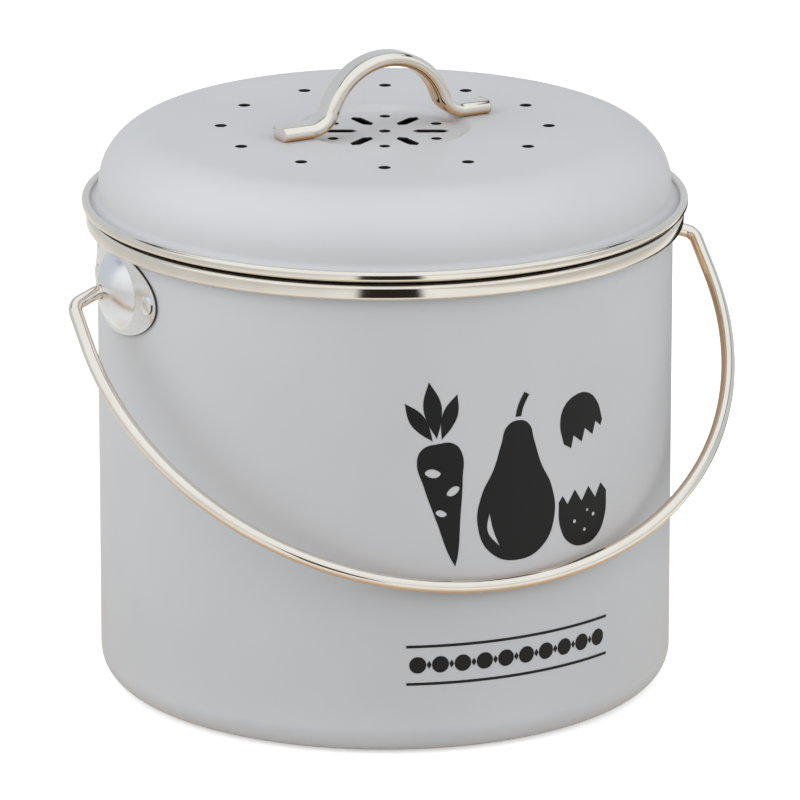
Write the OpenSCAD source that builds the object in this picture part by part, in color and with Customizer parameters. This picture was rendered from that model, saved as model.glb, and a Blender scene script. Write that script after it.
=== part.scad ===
// Compost caddy: a pail of painted steel with a domed, vented lid that lifts
// off, a plastic liner that lifts out, a charcoal filter under the lid and a
// wire bail held in two riveted ears.
//
// Millimetres. The origin is under the centre of the base, +Z is up, the
// front is at -Y, and the bail swings about a line along X.

/* [Pail] */
// Outside diameter of the wall
pail_d = 205; // [170:1:250]
// Height to the top of the rim trim
pail_h = 172.6; // [130:0.1:230]
// Thickness of the painted steel sheet
sheet = 0.6; // [0.4:0.05:1.2]
// Outside radius of the corner between wall and base
base_corner_r = 10.7; // [3:0.1:20]
// Height by which the middle of the base is pressed up
base_rise = 1.5; // [0.5:0.1:4]
// Width of the flat ring on which the pail stands
stand_w = 7; // [3:0.5:15]
// Radius of the flare from the wall into the top flange
flare_r = 1.2; // [0.6:0.1:2]

/* [Pail rim trim] */
// Height of the bright trim that is folded over the pail's flange
trim_h = 5.8; // [5.5:0.1:10]
// Distance by which the trim stands out from the wall
trim_out = 3.9; // [3:0.1:6]
// Thickness of the trim's metal
trim_t = 0.5; // [0.3:0.05:0.8]
// Radius of the trim's upper and lower edges
trim_edge_r = 1.6; // [0.8:0.1:2.2]
// Radius of the slightly bowed outer face
trim_face_r = 18; // [8:1:60]
// Gap between the wall and the trim's lower lip
trim_lip_gap = 0.8; // [0.3:0.1:1.5]

/* [Ears] */
// Distance from the pail's top down to the bail's pivot
ear_drop = 19.7; // [18:0.1:60]
// Width of the oval plate, measured around the wall
ear_w = 56; // [48:0.5:70]
// Height of the oval plate
ear_h = 30; // [26:0.5:36]
// Thickness of the plate
ear_t = 1; // [0.6:0.1:1.6]
// Radius of the pressed dome where it leaves the plate
dome_r = 14.9; // [11:0.1:16]
// Height of the dome above the plate
dome_h = 5.2; // [3:0.1:7]
// Distance between the two rivets, measured around the wall
rivet_pitch = 45.6; // [38:0.2:50]
// Diameter of the rivet's shank
rivet_d = 4; // [3:0.1:5]
// Diameter of the rivet's head
rivet_head_d = 6.8; // [6:0.1:9]
// Thickness of the rivet's head
rivet_head_t = 0.9; // [0.6:0.1:2]

/* [Bail] */
// Diameter of the wire
bail_d = 4.9; // [4:0.1:6.5]
// Play of the wire in the ear's hole, on the radius
bail_play = 0.1; // [0.05:0.01:0.1]
// Distance from the wall out to the middle of the bail's legs
bail_stand_off = 18.2; // [16:0.1:26]
// Angle by which the bail leans forward from hanging straight down, at rest
bail_rest_angle = 49.2; // [40:0.1:65]
// How much tighter the shoulder's radius is than half the bail's width
bail_shoulder_ease = 4.6; // [2:0.1:8]
// How much wider the radius at the middle is than the shoulder's
bail_bow_ease = 12.5; // [12:0.5:40]
// Angle by which the ends slope away from the pivot line
bail_kink = 23; // [8:1:30]
// Radius of the small bend beside the ear
bail_kink_r = 6.5; // [5:0.5:10]
// Radius of the corner between end and leg
bail_corner_r = 4.8; // [4:0.1:7]
// Diameter of the upset head inside the ear
bail_head_d = 7.8; // [7:0.1:10]
// Thickness of the upset head
bail_head_t = 1.6; // [1:0.1:2]

/* [Liner] */
// Wall thickness of the plastic liner
liner_t = 1.5; // [1:0.1:2.5]
// Gap between the liner and the inside of the pail at the mouth
liner_side_gap = 1.5; // [1.4:0.1:3]
// How much narrower the liner's foot is than its mouth, on the radius
liner_taper = 6.4; // [3:0.1:12]
// Radius of the liner's bottom corner
liner_corner_r = 6; // [3:0.5:15]
// Thickness of the turned-out rim
liner_rim_t = 1.6; // [1.2:0.1:2]
// Width of the rim's turned-down lip
liner_lip_w = 1.3; // [1:0.1:1.8]

/* [Lid] */
// Height from the pail's rim to the flat top of the lid
lid_rise = 29.2; // [24:0.1:50]
// Height from the pail's rim to the underside of the lid's brim
lid_stand = 2.8; // [2.6:0.1:5]
// Radius of the rounded shoulder
lid_shoulder_r = 20.6; // [8:0.1:21]
// Radius where the dome runs out into the brim
brim_fillet_r = 3; // [1.5:0.1:4]
// Depth of the shallow dish in the middle
dish_depth = 2; // [1:0.1:3]
// Radius at which the dish begins
dish_r = 31.5; // [29:0.5:40]
// Radius of the soft edge of the dish
dish_edge_r = 3; // [2:0.1:4]
// Height of the rolled bead around the lid
bead_h = 3.6; // [3:0.1:5]
// Width of the bead, seen from above
bead_w = 2.9; // [2.6:0.1:4]
// Distance by which the bead stands out from the pail's wall
bead_out = 5.3; // [4.5:0.1:7]
// Thickness of the bead's metal
bead_t = 0.45; // [0.3:0.05:0.6]
// Depth to which the locating collar reaches into the liner
collar_drop = 7; // [4:0.5:20]
// Gap between the collar and the liner
collar_gap = 0.9; // [0.6:0.1:1.5]
// Angle by which the lid is turned on the pail
lid_turn = 6.2; // [-30:0.1:30]

/* [Vents] */
// Number of holes in the outer ring
ring_holes = 12; // [6:1:24]
// Radius of the outer ring
ring_r = 58.2; // [50:0.1:64]
// Diameter of the holes in the outer ring
ring_hole_d = 4.4; // [3:0.1:8]
// Number of slots in the rosette
rosette_slots = 6; // [4:1:6]
// Radius at which a slot begins
slot_in_r = 9.7; // [8:0.1:12]
// Radius at which a slot ends
slot_out_r = 22.9; // [18:0.1:25]
// Width of a slot
slot_w = 4.2; // [2:0.1:5]
// Radius of the small holes between the slots
petal_r = 21.1; // [18:0.1:24]
// Diameter of the small holes between the slots
petal_d = 3.9; // [2:0.1:5]
// Diameter of the hole in the middle
centre_d = 4.2; // [3:0.1:8]

/* [Lid handle] */
// Length over both feet
handle_span = 84.2; // [82:0.1:100]
// How much further out the left foot ends than the right one, over two
handle_offset = 0.9; // [0:0.1:2]
// Height of the arch above the lid
handle_h = 27.2; // [24:0.1:36]
// Thickness of the bar
handle_t = 5; // [4:0.1:7]
// Width of the bar
handle_w = 10; // [8:0.1:16]
// Radius of the bar's rounded edges
handle_edge_r = 2.3; // [1:0.1:2.4]
// Radius of the arch, along the middle of the bar
arch_r = 24; // [22:0.1:27]
// Radius of the bends between arch and feet
foot_bend_r = 9; // [4:0.1:9]
// Distance between the two screws
screw_pitch = 72; // [70:0.5:80]
// Diameter of the screws
screw_d = 4; // [3:0.1:5]
// Depth of the threaded holes in the feet
thread_depth = 4; // [3:0.1:4.5]
// Diameter of the screw heads
screw_head_d = 7.6; // [6:0.1:9]
// Thickness of the screw heads
screw_head_t = 2.2; // [1.5:0.1:3]
// Diameter of the washers
washer_d = 9; // [8:0.1:12]
// Thickness of the washers
washer_t = 0.8; // [0.5:0.1:1.2]

/* [Filter] */
// Diameter of the charcoal disc
filter_d = 142; // [130:1:150]
// Thickness of the charcoal disc
filter_t = 7; // [4:0.5:10]
// Wall thickness of the filter's holder
holder_t = 2; // [1.5:0.1:3]
// Width of the spokes in holder and cover
spoke_w = 5; // [3:0.1:8]
// Number of spokes
spokes = 6; // [4:2:12]
// Height of the cover's skirt
skirt_h = 10; // [6:0.5:14]
// Thickness of the cover's skirt
skirt_t = 1.8; // [1.2:0.1:3]
// Width of the flat ring on which the charcoal disc lies
ledge_w = 9; // [5:0.5:15]
// Height of the finger grip under the cover
grip_h = 7; // [5:0.5:9]
// Length of the finger grip
grip_l = 34; // [20:1:50]

/* [Hidden] */
$fn = 96;
// pieces that are clamped or pressed together, and pieces that move apart
seat_gap = 0.05;
run_gap = 0.3;
// straight lengths run this far into the bends, which are a hair thinner, so
// that the lengths of a bent bar or wire join up cleanly
lap = 0.1;
thin = 0.02;
// colours
paint = "#c3c5c5";
bright = "#ddd8cb";
zinc = "#d3d7d9";
plastic = "#2f3133";
carbon = "#1b1b1c";
steel = "#b9bbbd";

pail_r = pail_d / 2;
wall_in = pail_r - sheet;
// the flange at the pail's mouth lies just under the trim's top
flange_top = pail_h - trim_t - seat_gap;
flare_z = flange_top - sheet - flare_r;
flange_r = pail_r + trim_out - trim_edge_r - 0.25;
trim_r = pail_r + trim_out;
trim_z = pail_h - trim_h / 2;

// the ears end just below the trim
ear_z = pail_h - ear_drop;
ear_top = pail_h - trim_h - 0.4;
ear_in = pail_r + seat_gap;
ear_out = ear_in + ear_t;
dome_sphere = (dome_r * dome_r + dome_h * dome_h) / (2 * dome_h);
dome_x = ear_out + dome_h - dome_sphere;
rivet_angle = rivet_pitch / 2 / pail_r * 180 / PI;
tail_x = sqrt(pow(wall_in, 2) - pow(rivet_head_d / 2, 2)) - 0.02;

// the bail: its middle leans on the wall, and the rest follows from there
bail_r = bail_d / 2;
bail_reach = (pail_r + bail_r + run_gap) / sin(bail_rest_angle);
bail_half = pail_r + bail_stand_off;
shoulder_r = bail_half - bail_shoulder_ease;
bow_r = shoulder_r + bail_bow_ease;
bow_angle = asin(bail_shoulder_ease / bail_bow_ease);
leg_end = bail_reach - bow_r + bail_bow_ease * cos(bow_angle);
kink_x = ear_out + dome_h + 0.5;
slope_x0 = kink_x + bail_kink_r * sin(bail_kink);
slope_y0 = bail_kink_r * (1 - cos(bail_kink));
slope_x1 = bail_half - bail_corner_r * (1 - sin(bail_kink));
slope_y1 = slope_y0 + (slope_x1 - slope_x0) * tan(bail_kink);
corner_y = slope_y1 + bail_corner_r * cos(bail_kink);
head_x = ear_in + (dome_h + seat_gap) / 2 + 0.2;

// the lid's brim stands over the liner's rim, which hangs on the trim
brim_z = pail_h + lid_stand;
brim_top = brim_z + sheet;
lid_top = pail_h + lid_rise;
lid_under = lid_top - sheet;
lid_r = pail_r - 0.6;
shoulder = min(lid_shoulder_r, lid_top - brim_top - brim_fillet_r);
bead_r = pail_r + bead_out;
bead_z = brim_z + sheet / 2;
dish_angle = acos(1 - dish_depth / (2 * dish_edge_r));
dish_in = dish_r - 2 * dish_edge_r * sin(dish_angle);
bead_in = bead_r - bead_w;

liner_top = brim_z - run_gap;
liner_mouth = wall_in - liner_side_gap;
liner_base = base_rise + sheet + 0.9;
liner_foot = liner_mouth - liner_taper;
liner_rim_r = bead_in - 0.7;
liner_slope = atan(liner_taper / (liner_top - liner_base - liner_corner_r));
collar_r = liner_mouth - liner_t - collar_gap;
collar_z = liner_top - 2 * run_gap - collar_drop - 2;

// the stack under the lid
web_top = lid_under - dish_depth - 0.9;
web_z = web_top - holder_t;
washer_z = web_z - washer_t;
head_z = washer_z - screw_head_t;
filter_top = head_z - 0.6;
filter_z = filter_top - filter_t;
cover_z = filter_z - holder_t;
filter_r = filter_d / 2;
// the screw bosses stay clear of the dish
boss_r = max(screw_d / 2 + 1.2, min(washer_d / 2 + 1, screw_pitch / 2 - dish_r - 0.2));
holder_in = filter_r + 0.5;
holder_out = holder_in + holder_t;
skirt_in = holder_out + run_gap;
skirt_out = skirt_in + skirt_t;
thread_top = lid_top + thread_depth;

// ---- helpers ---------------------------------------------------------------

// points along an arc, from angle a0 to a1, both ends included
function arc(x, y, r, a0, a1, n) =
    [for (i = [0:n]) let (a = a0 + (a1 - a0) * i / n) [x + r * cos(a), y + r * sin(a)]];

// the outline of a bar with rounded edges, w along x and h along y
function rounded_bar(w, h, r) = concat(
    arc(w / 2 - r, h / 2 - r, r, 0, 90, 8),
    arc(-w / 2 + r, h / 2 - r, r, 90, 180, 8),
    arc(-w / 2 + r, -h / 2 + r, r, 180, 270, 8),
    arc(w / 2 - r, -h / 2 + r, r, 270, 360, 8));

// one side of the pail trim's metal, e inside its outer surface
function trim_side(e) = let (
    lift = trim_h / 2 - trim_edge_r,
    lean = asin(lift / (trim_face_r - trim_edge_r)),
    face_x = trim_r - trim_face_r,
    edge_x = face_x + (trim_face_r - trim_edge_r) * cos(lean))
    concat(
        arc(edge_x, trim_z + lift, trim_edge_r - e, 90, lean, 10),
        arc(face_x, trim_z, trim_face_r - e, lean, -lean, 8),
        arc(edge_x, trim_z - lift, trim_edge_r - e, -lean, -90, 10));

// points of a list in the other direction
function turned(p) = [for (i = [len(p) - 1:-1:0]) p[i]];

module at_rivets() {
    for (side = [0, 180], s = [-1, 1]) {
        rotate([0, 0, side + s * rivet_angle]) children();
    }
}

module at_screws() {
    rotate([0, 0, lid_turn]) {
        for (s = [-1, 1]) translate([s * screw_pitch / 2, 0, 0]) children();
    }
}

// a ring with a square section
module ring(outer, inner, z, h) {
    translate([0, 0, z]) difference() {
        cylinder(r = outer, h = h);
        translate([0, 0, -1]) cylinder(r = inner, h = h + 2);
    }
}

// ---- pail ------------------------------------------------------------------

module pail_shell() {
    corner_x = pail_r - base_corner_r;
    stand_x = corner_x - stand_w;
    color(paint) difference() {
        rotate_extrude() polygon(concat(
            [[0, base_rise], [stand_x - 2 * base_rise, base_rise], [stand_x, 0]],
            arc(corner_x, base_corner_r, base_corner_r, -90, 0, 14),
            arc(pail_r + flare_r, flare_z, flare_r, 180, 90, 8),
            [[flange_r, flare_z + flare_r], [flange_r, flange_top]],
            arc(pail_r + flare_r, flare_z, flare_r + sheet, 90, 180, 8),
            arc(corner_x, base_corner_r, base_corner_r - sheet, 0, -90, 14),
            [[stand_x, sheet], [stand_x - 2 * base_rise, base_rise + sheet],
             [0, base_rise + sheet]]));
        at_rivets() translate([wall_in - 5, 0, ear_z]) rotate([0, 90, 0])
            cylinder(r = rivet_d / 2 + seat_gap, h = 10, $fn = 32);
    }
}

module pail_rim_trim() {
    lip_x = pail_r + trim_lip_gap;
    color(bright) rotate_extrude() polygon(concat(
        [[pail_r + seat_gap, trim_z + trim_h / 2]], trim_side(0),
        [[lip_x, trim_z - trim_h / 2], [lip_x, trim_z - trim_h / 2 + trim_t]],
        turned(trim_side(trim_t)), [[pail_r + seat_gap, trim_z + trim_h / 2 - trim_t]]));
}

// the right ear: an oval plate bent to the wall, with a dome for the bail's end
module ear() {
    oval = [for (a = [0:6:354]) [ear_w / 2 * cos(a), ear_h / 2 * sin(a)]];
    difference() {
        union() {
            intersection() {
                ring(ear_out, ear_in, ear_z - ear_h, 2 * ear_h);
                translate([pail_r - 20, 0, ear_z]) rotate([90, 0, 90])
                    linear_extrude(height = 30) polygon(oval);
            }
            translate([0, 0, ear_z]) rotate([0, 90, 0]) difference() {
                dome(dome_sphere);
                cylinder(r = bail_r + bail_play, h = 2 * pail_r, $fn = 48);
            }
        }
        translate([0, 0, ear_z]) rotate([0, 90, 0]) dome(dome_sphere - ear_t);
        translate([0, 0, ear_z - ear_h]) cylinder(r = ear_in, h = 2 * ear_h);
        translate([0, -ear_w, ear_top]) cube([2 * pail_r, 2 * ear_w, 20]);
        for (s = [-1, 1]) rotate([0, 0, s * rivet_angle]) translate([pail_r - 5, 0, ear_z])
            rotate([0, 90, 0]) cylinder(r = rivet_d / 2 + seat_gap, h = 12, $fn = 32);
    }
}

// a solid cap along Z, with radius r about the dome's centre
module dome(r) {
    edge = asin(dome_r / dome_sphere);
    back = pail_r - 4;
    rotate_extrude() polygon(concat([[0, back], [r * sin(edge), back]],
        [for (i = [12:-1:0]) [r * sin(edge * i / 12), dome_x + r * cos(edge * i / 12)]]));
}

module right_ear() {
    color(zinc) ear();
}

module left_ear() {
    color(zinc) rotate([0, 0, 180]) ear();
}

module ear_rivets() {
    color(zinc) at_rivets() translate([0, 0, ear_z]) rotate([0, 90, 0]) {
        translate([0, 0, tail_x - rivet_head_t])
            cylinder(r = rivet_head_d / 2, h = rivet_head_t, $fn = 48);
        translate([0, 0, tail_x - 0.2])
            cylinder(r = rivet_d / 2, h = ear_out - tail_x + 0.4, $fn = 32);
        translate([0, 0, ear_out]) rotate_extrude($fn = 48) polygon(concat(
            [[0, 0], [rivet_head_d / 2, 0]], [for (i = [0:8]) [rivet_head_d / 2 * cos(i * 11.25),
                rivet_head_t * (0.35 + 0.65 * sin(i * 11.25))]]));
    }
}

// ---- bail ------------------------------------------------------------------

// straight wire from p in direction a, and bent wire about c from a0 over turn
module wire(p, a, l) {
    translate(p) rotate([0, 0, a]) translate([-lap, 0, 0]) rotate([0, 90, 0])
        cylinder(r = bail_r, h = l + 2 * lap, $fn = 32);
}

module wire_bend(c, r, a0, turn, wire_r) {
    translate(c) rotate([0, 0, a0]) rotate_extrude(angle = turn, $fn = 192)
        translate([r, 0]) circle(r = wire_r, $fn = 32);
}

module half_bail() {
    slope_l = (slope_x1 - slope_x0) / cos(bail_kink);
    slim = bail_r - thin;
    corner_x = bail_half - bail_corner_r;
    translate([head_x, 0]) rotate([0, 90, 0])
        cylinder(r = bail_head_d / 2, h = bail_head_t, $fn = 48);
    wire([head_x + 1, 0], 0, kink_x - head_x - 1);
    wire_bend([kink_x, -bail_kink_r], bail_kink_r, 90 - bail_kink, bail_kink, slim);
    wire([slope_x0, -slope_y0], -bail_kink, slope_l);
    wire_bend([corner_x, -corner_y], bail_corner_r, 0, 90 - bail_kink, slim);
    wire([bail_half, -leg_end], 90, leg_end - corner_y);
    wire_bend([bail_shoulder_ease, -leg_end], shoulder_r, bow_angle - 90, 90 - bow_angle, slim);
}

module bail_handle() {
    bow = bow_angle + lap / bow_r * 180 / PI;
    color(bright) translate([0, 0, ear_z]) rotate([-bail_rest_angle, 0, 0]) rotate([90, 0, 0]) {
        for (m = [0, 1]) mirror([m, 0, 0]) half_bail();
        wire_bend([0, bow_r - bail_reach], bow_r, -90 - bow, 2 * bow, bail_r);
    }
}

// ---- liner -----------------------------------------------------------------

module liner_bucket() {
    foot = liner_foot - liner_corner_r;
    corner_z = liner_base + liner_corner_r;
    under = liner_top - liner_rim_t;
    lip = pail_h + run_gap;
    color(plastic) rotate_extrude() polygon(concat(
        [[0, liner_base]],
        arc(foot, corner_z, liner_corner_r, -90, -liner_slope, 12),
        [[liner_mouth, under], [liner_rim_r - liner_lip_w, under],
         [liner_rim_r - liner_lip_w, lip], [liner_rim_r, lip], [liner_rim_r, liner_top],
         [liner_mouth - liner_t, liner_top]],
        arc(foot, corner_z, liner_corner_r - liner_t, -liner_slope, -90, 12),
        [[0, liner_base + liner_t]]));
}

// ---- lid -------------------------------------------------------------------

// one side of the lid's sheet, e below its painted top surface
function lid_side(e) = concat(
    [[0, lid_top - dish_depth - e]],
    arc(dish_in, lid_top - dish_depth + dish_edge_r, dish_edge_r + e, -90, dish_angle - 90, 6),
    arc(dish_r, lid_top - dish_edge_r, dish_edge_r - e, 90 + dish_angle, 90, 6),
    arc(lid_r - shoulder, lid_top - shoulder, shoulder - e, 90, 0, 24),
    arc(lid_r + brim_fillet_r, brim_top + brim_fillet_r, brim_fillet_r + e, 180, 270, 8),
    [[bead_r - bead_t - 0.7, brim_top - e]]);

module lid_shell() {
    color(paint) difference() {
        rotate_extrude() polygon(concat(lid_side(0), turned(lid_side(sheet))));
        rotate([0, 0, lid_turn]) translate([0, 0, lid_top - 8]) {
            cylinder(r = centre_d / 2, h = 12, $fn = 32);
            for (i = [0:ring_holes - 1]) rotate([0, 0, i * 360 / ring_holes])
                translate([ring_r, 0, 0]) cylinder(r = ring_hole_d / 2, h = 12, $fn = 32);
            for (i = [0:rosette_slots - 1]) rotate([0, 0, i * 360 / rosette_slots]) {
                translate([petal_r, 0, 0]) cylinder(r = petal_d / 2, h = 12, $fn = 32);
                rotate([0, 0, 180 / rosette_slots]) slot();
            }
        }
        at_screws() translate([0, 0, lid_top - 8])
            cylinder(r = screw_d / 2 + 0.2, h = 12, $fn = 32);
    }
}

// a vent slot that runs outwards, with pointed ends as in the rosette
module slot() {
    w = slot_w / 2;
    linear_extrude(height = 12) polygon([[slot_in_r, 0], [slot_in_r + w, -w],
        [slot_out_r - w, -w], [slot_out_r, 0], [slot_out_r - w, w], [slot_in_r + w, w]]);
}

// a hem of bright metal around the edge of the brim, open where the brim enters
module lid_bead() {
    r = min(bead_w, bead_h) / 2 - 0.1;
    x0 = bead_in;
    z0 = bead_z - bead_h / 2;
    z1 = bead_z + bead_h / 2;
    slit = sheet / 2 + seat_gap;
    color(bright) rotate_extrude() polygon(concat(
        [[x0, bead_z - slit]],
        arc(x0 + r, z0 + r, r, 180, 270, 8),
        arc(bead_r - r, z0 + r, r, 270, 360, 8),
        arc(bead_r - r, z1 - r, r, 0, 90, 8),
        arc(x0 + r, z1 - r, r, 90, 180, 8),
        [[x0, bead_z + slit], [x0 + bead_t, bead_z + slit]],
        arc(x0 + r, z1 - r, r - bead_t, 180, 90, 8),
        arc(bead_r - r, z1 - r, r - bead_t, 90, 0, 8),
        arc(bead_r - r, z0 + r, r - bead_t, 360, 270, 8),
        arc(x0 + r, z0 + r, r - bead_t, 270, 180, 8),
        [[x0 + bead_t, bead_z - slit]]));
}

// the ring welded inside the dome, which centres the lid in the liner's mouth
module lid_collar() {
    weld_r = lid_r - sheet - 0.4;
    weld_z = brim_top + brim_fillet_r;
    color(steel) rotate_extrude() polygon([
        [weld_r, weld_z + 3.5], [weld_r, weld_z - 0.5], [collar_r, brim_z + 0.8],
        [collar_r, collar_z + 1], [collar_r - 0.8, collar_z],
        [collar_r - 0.8 - sheet, collar_z], [collar_r - sheet, collar_z + 1],
        [collar_r - sheet, brim_z + 1.2], [weld_r - sheet, weld_z],
        [weld_r - sheet, weld_z + 3.5]]);
}

// ---- lid handle ------------------------------------------------------------

// arch, two bends and two feet along one line, drawn in the plane of the arch
module handle_bar() {
    arch_y = handle_h - handle_t / 2 - arch_r;
    bend_y = handle_t / 2 + foot_bend_r;
    reach = arch_r + foot_bend_r;
    bend_x = sqrt(reach * reach - pow(bend_y - arch_y, 2));
    lean = asin((bend_y - arch_y) / reach);
    over = lap / arch_r * 180 / PI;
    bar = rounded_bar(handle_t, handle_w, handle_edge_r);
    slim = rounded_bar(handle_t - 2 * thin, handle_w - 2 * thin, handle_edge_r - thin);
    translate([0, arch_y]) rotate([0, 0, lean - over])
        rotate_extrude(angle = 180 - 2 * lean + 2 * over) translate([arch_r, 0]) polygon(bar);
    for (m = [0, 1]) mirror([m, 0, 0]) {
        translate([bend_x, bend_y]) rotate([0, 0, 180 + lean])
            rotate_extrude(angle = 90 - lean) translate([foot_bend_r, 0]) polygon(slim);
        translate([bend_x - lap, handle_t / 2]) rotate([0, 90, 0]) rotate([0, 0, 90])
            linear_extrude(height = handle_span / 2 + (2 * m - 1) * handle_offset - bend_x + lap)
                polygon(bar);
    }
}

module lid_handle() {
    color(bright) difference() {
        rotate([0, 0, lid_turn]) translate([0, 0, lid_top]) rotate([90, 0, 0]) handle_bar();
        at_screws() translate([0, 0, lid_top - 1])
            cylinder(r = screw_d / 2 + seat_gap, h = thread_depth + 1, $fn = 32);
    }
}

module handle_screws() {
    color(steel) at_screws() {
        translate([0, 0, head_z]) cylinder(r = screw_head_d / 2, h = screw_head_t, $fn = 48);
        translate([0, 0, head_z + 0.5])
            cylinder(r = screw_d / 2, h = thread_top - head_z - 0.8, $fn = 32);
    }
}

module handle_washers() {
    color(steel) at_screws()
        ring(washer_d / 2, screw_d / 2 + 0.2, washer_z, washer_t, $fn = 48);
}

// ---- filter ----------------------------------------------------------------

module spoke_set(z, h, reach) {
    rotate([0, 0, lid_turn]) for (i = [0:spokes - 1]) rotate([0, 0, i * 360 / spokes])
        translate([0, -spoke_w / 2, z]) cube([reach, spoke_w, h]);
}

// the ring that takes the charcoal disc, clamped to the lid by the handle's screws
module filter_holder() {
    color(plastic) difference() {
        union() {
            ring(holder_out, holder_in, cover_z + holder_t + run_gap,
                 lid_under - seat_gap - cover_z - holder_t - run_gap);
            spoke_set(web_z, holder_t, holder_in + holder_t / 2);
            at_screws() translate([0, 0, web_z])
                cylinder(r = boss_r, h = lid_under - seat_gap - web_z, $fn = 48);
        }
        at_screws() translate([0, 0, web_z - 1])
            cylinder(r = screw_d / 2 + 0.2, h = 12, $fn = 32);
    }
}

// the cover under the disc: a skirt that slips over the holder, and a grip
module filter_cover() {
    color(plastic) {
        ring(skirt_out, skirt_in, cover_z, skirt_h);
        ring(skirt_in + skirt_t / 2, filter_r - ledge_w, cover_z, holder_t);
        spoke_set(cover_z, holder_t, filter_r - ledge_w / 2);
        rotate([0, 0, lid_turn]) translate([-grip_l / 2, -spoke_w / 4, cover_z - grip_h])
            cube([grip_l, spoke_w / 2, grip_h + holder_t / 2]);
    }
}

module charcoal_filter() {
    color(carbon) translate([0, 0, filter_z]) cylinder(r = filter_r, h = filter_t);
}

pail_shell();
pail_rim_trim();
left_ear();
right_ear();
ear_rivets();
bail_handle();
liner_bucket();
lid_shell();
lid_bead();
lid_collar();
lid_handle();
handle_screws();
handle_washers();
filter_holder();
filter_cover();
charcoal_filter();
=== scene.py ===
# %% [markdown]
# # Dressing a compost caddy
# The object is a small kitchen pail for food scraps: a painted steel body with a
# bright folded rim, a domed and vented lid, two pressed ears and a wire bail.
# Its solids come from a CAD model that is already in place, so this lesson is about
# looks: camera, light, finishes, and the pieces that need smoother metal or felt.
# Lengths of the object are written in millimetres and turned into metres with MM; the
# studio's are written in metres.

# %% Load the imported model
import math
import bpy
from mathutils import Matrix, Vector


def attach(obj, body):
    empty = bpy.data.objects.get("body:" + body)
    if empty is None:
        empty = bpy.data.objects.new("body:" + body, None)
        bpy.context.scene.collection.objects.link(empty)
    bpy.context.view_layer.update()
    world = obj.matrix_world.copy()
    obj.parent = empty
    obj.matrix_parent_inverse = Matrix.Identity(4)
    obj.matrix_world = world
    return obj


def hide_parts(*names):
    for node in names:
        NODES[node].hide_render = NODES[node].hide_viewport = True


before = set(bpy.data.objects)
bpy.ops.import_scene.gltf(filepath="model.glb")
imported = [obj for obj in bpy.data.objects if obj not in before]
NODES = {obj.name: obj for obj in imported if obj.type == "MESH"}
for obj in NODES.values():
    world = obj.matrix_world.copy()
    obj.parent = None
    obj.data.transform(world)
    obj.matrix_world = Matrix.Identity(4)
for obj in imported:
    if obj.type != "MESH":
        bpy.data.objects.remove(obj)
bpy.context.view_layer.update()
MM = 0.001
bpy.ops.object.select_all(action="DESELECT")

# %% [markdown]
# ## The camera
# The photograph was taken from far away with a long lens, a little above the lid. The
# pail is turned so that its right ear is hidden behind the wall and its left ear shows.
# A camera could be moved until the picture looks right. Here its place was worked out
# from the ellipses of rim, lid and base, because an ellipse tells the angle exactly.

# %% Camera
TURN = math.radians(23.8)
PITCH = math.radians(16.47)
camera_data = bpy.data.cameras.new("camera")
# sensor and lens are in millimetres, and the clip distances in metres
camera_data.sensor_width, camera_data.lens = 36, 361.92
camera_data.clip_start, camera_data.clip_end = 0.1, 60
camera = bpy.data.objects.new("camera", camera_data)
camera.location = Vector((-1110.6, -2531.4, 917.5)) * MM
camera.rotation_euler = (math.pi / 2 - PITCH, 0, -TURN)
bpy.context.scene.collection.objects.link(camera)
bpy.context.scene.camera = camera
bpy.context.scene.view_settings.view_transform = "Standard"
print("camera distance in m:", round(camera.location.length, 2))

# %% [markdown]
# ## Small helpers for materials
# Colours are written as a painter would pick them on a screen, and Blender wants
# linear light, so one function turns the one into the other. The next adds a node to
# a node tree: words set its properties, and the dictionary sets or links its inputs.
# The last ones start a material and fill a colour ramp.


# %% Colour and node helpers
def srgb(code):
    """A hex colour as linear red, green, blue and alpha."""
    parts = [int(code[i : i + 2], 16) / 255 for i in (1, 3, 5)]
    line = [c / 12.92 if c <= 0.04045 else ((c + 0.055) / 1.055) ** 2.4 for c in parts]
    return (*line, 1.0)


def add(tree, kind, inputs=None, **words):
    """Add a node, set its words, and set or link its inputs."""
    made = tree.nodes.new(kind)
    for word, value in words.items():
        setattr(made, word, value)
    for key, value in (inputs or {}).items():
        if isinstance(value, bpy.types.NodeSocket):
            tree.links.new(value, made.inputs[key])
        else:
            made.inputs[key].default_value = value
    return made


def new_material(name):
    """An empty material: (material, its node tree, its output node)."""
    made = bpy.data.materials.new(name)
    made.use_nodes = True
    made.node_tree.nodes.clear()
    out = add(made.node_tree, "ShaderNodeOutputMaterial")
    return made, made.node_tree, out


def fill_ramp(ramp_node, stops):
    """Give a colour ramp these (place, hex colour) stops."""
    ramp = ramp_node.color_ramp
    while len(ramp.elements) < len(stops):
        ramp.elements.new(0.5)
    for stop, (where, code) in zip(ramp.elements, stops):
        stop.position, stop.color = where, srgb(code)


print("helpers ready, white is", [round(c, 3) for c in srgb("#ffffff")])

# %% [markdown]
# ## The room
# The world gives the plain fill. Camera rays see it white, and rays that leave shiny
# metal see a bright room: a pale front, a cooler wall behind with a dark gap above it,
# and a dark gap between the two front lights. Such edges are what makes plated metal
# look like metal. The room could be built from cards and walls. Two colour ramps do the
# same and can be tuned one band at a time.

# %% World: plain fill and white background
FILL = 0.44
WHITE = (1, 1, 1, 1)
world = bpy.data.worlds.new("studio")
bpy.context.scene.world = world
world.use_nodes = True
tree = world.node_tree
tree.nodes.clear()
ray = add(tree, "ShaderNodeLightPath")
fill = add(tree, "ShaderNodeBackground", {"Color": srgb("#fdfdff"), "Strength": FILL})
seen = add(tree, "ShaderNodeBackground", {"Color": WHITE, "Strength": 1.0})
print("fill light:", FILL)

# %% World: front and back of the room
way = add(tree, "ShaderNodeTexCoord")
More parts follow.
